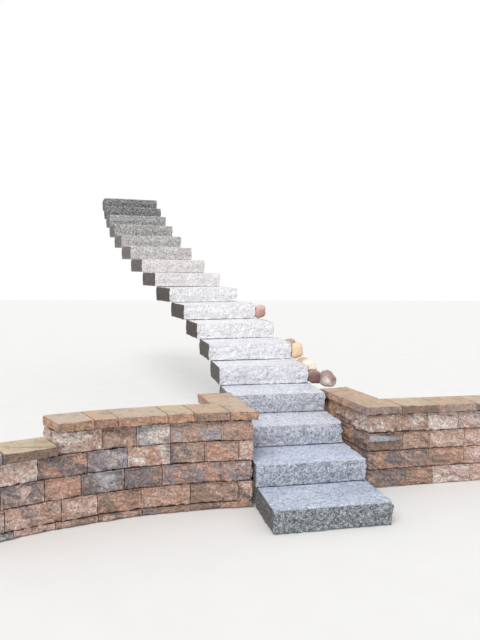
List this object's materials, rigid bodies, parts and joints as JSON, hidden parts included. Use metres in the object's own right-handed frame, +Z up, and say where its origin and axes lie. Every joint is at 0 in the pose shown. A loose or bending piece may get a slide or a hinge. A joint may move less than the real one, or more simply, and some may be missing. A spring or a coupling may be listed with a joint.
{
  "type": "outdoor stone steps",
  "caption": "Curving flight of rock-faced granite slab steps up a bank, between two low capped retaining walls of split-face blocks with cheek returns.",
  "frame": {"origin": "middle of the bottom slab's bed, on the ground at the foot of the flight", "axes": "+X to the right along the bottom riser, +Y into the bank, +Z up"},
  "size_m": [4.6492, 7.4318, 3.026],
  "materials": {
    "granite": "rock-faced riser, thermal tread",
    "wall_block": "split face",
    "cap": "smooth top, split face",
    "fieldstone": "weathered"
  },
  "bodies": {
    "root": {"step_1": "granite", "step_2": "granite", "step_3": "granite", "step_4": "granite", "step_5": "granite", "step_6": "granite", "step_7": "granite", "step_8": "granite", "step_9": "granite", "step_10": "granite", "step_11": "granite", "step_12": "granite", "step_13": "granite", "step_14": "granite", "step_15": "granite", "step_16": "granite", "step_17": "granite", "left_base_course": "wall_block", "left_cheek_base_course": "wall_block", "left_course_1": "wall_block", "left_course_2": "wall_block", "left_course_3": "wall_block", "left_course_4": "wall_block", "left_cheek_course_1": "wall_block", "left_cheek_course_2": "wall_block", "left_cheek_course_3": "wall_block", "left_cheek_course_4": "wall_block", "left_wall_cap": "cap", "left_low_cap": "cap", "left_cheek_cap": "cap", "right_course_1": "wall_block", "right_course_2": "wall_block", "right_course_3": "wall_block", "right_course_4": "wall_block", "right_cheek_course_1": "wall_block", "right_cheek_course_2": "wall_block", "right_cheek_course_3": "wall_block", "right_cheek_course_4": "wall_block", "right_wall_cap": "cap", "right_cheek_cap": "cap", "edging_stone_1": "fieldstone", "edging_stone_2": "fieldstone", "edging_stone_3": "fieldstone", "edging_stone_4": "fieldstone", "edging_stone_5": "fieldstone"}
  },
  "joints": []
}
